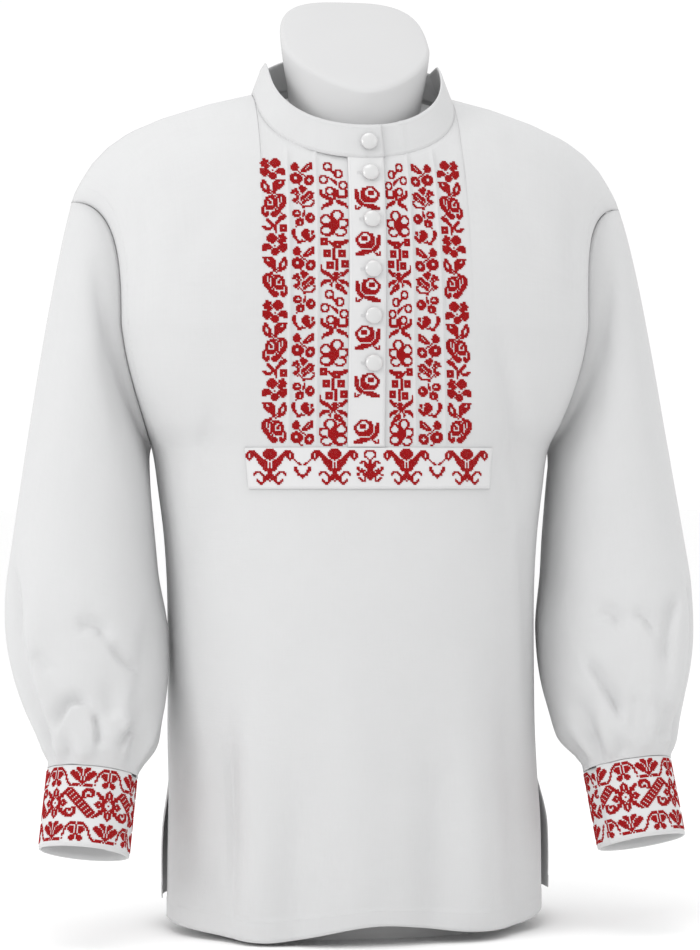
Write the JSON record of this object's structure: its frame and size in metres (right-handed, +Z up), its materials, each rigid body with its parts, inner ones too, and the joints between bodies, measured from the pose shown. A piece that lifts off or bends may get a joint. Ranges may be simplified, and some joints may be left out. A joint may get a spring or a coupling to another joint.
{
  "type": "embroidered folk shirt on a limbless dress form",
  "caption": "White long-sleeved pullover shirt with red cross-stitch folk embroidery, stand collar, half placket and banded cuffs, displayed on a smooth limbless torso form.",
  "frame": {"origin": "on the floor under the middle of the whole object's bounding box", "axes": "+Z up along the torso, -Y towards the front of the shirt, +X towards the wearer's left (the right as seen from in front)"},
  "size_m": [0.648, 0.2806, 0.8731],
  "materials": {
    "shirt_cloth": "plain woven cotton, matt",
    "embroidered_cloth": "folded cotton worked in cross-stitch",
    "embroidery_thread": "stranded cotton thread with a soft sheen",
    "buttons": "polished",
    "form_shell": "smooth, slightly satin"
  },
  "bodies": {
    "root": {"front_lower": "shirt_cloth", "front_upper_left": "shirt_cloth", "front_upper_right": "shirt_cloth", "back": "shirt_cloth", "sleeve_left": "shirt_cloth", "sleeve_right": "shirt_cloth", "collar": "shirt_cloth", "placket_under": "shirt_cloth", "cuff_left": "embroidered_cloth", "cuff_right": "embroidered_cloth", "placket": "embroidered_cloth", "chest_band": "embroidered_cloth", "button_1": "buttons", "button_2": "buttons", "button_3": "buttons", "button_4": "buttons", "button_5": "buttons", "button_6": "buttons", "dress_form": "form_shell"}
  },
  "joints": []
}
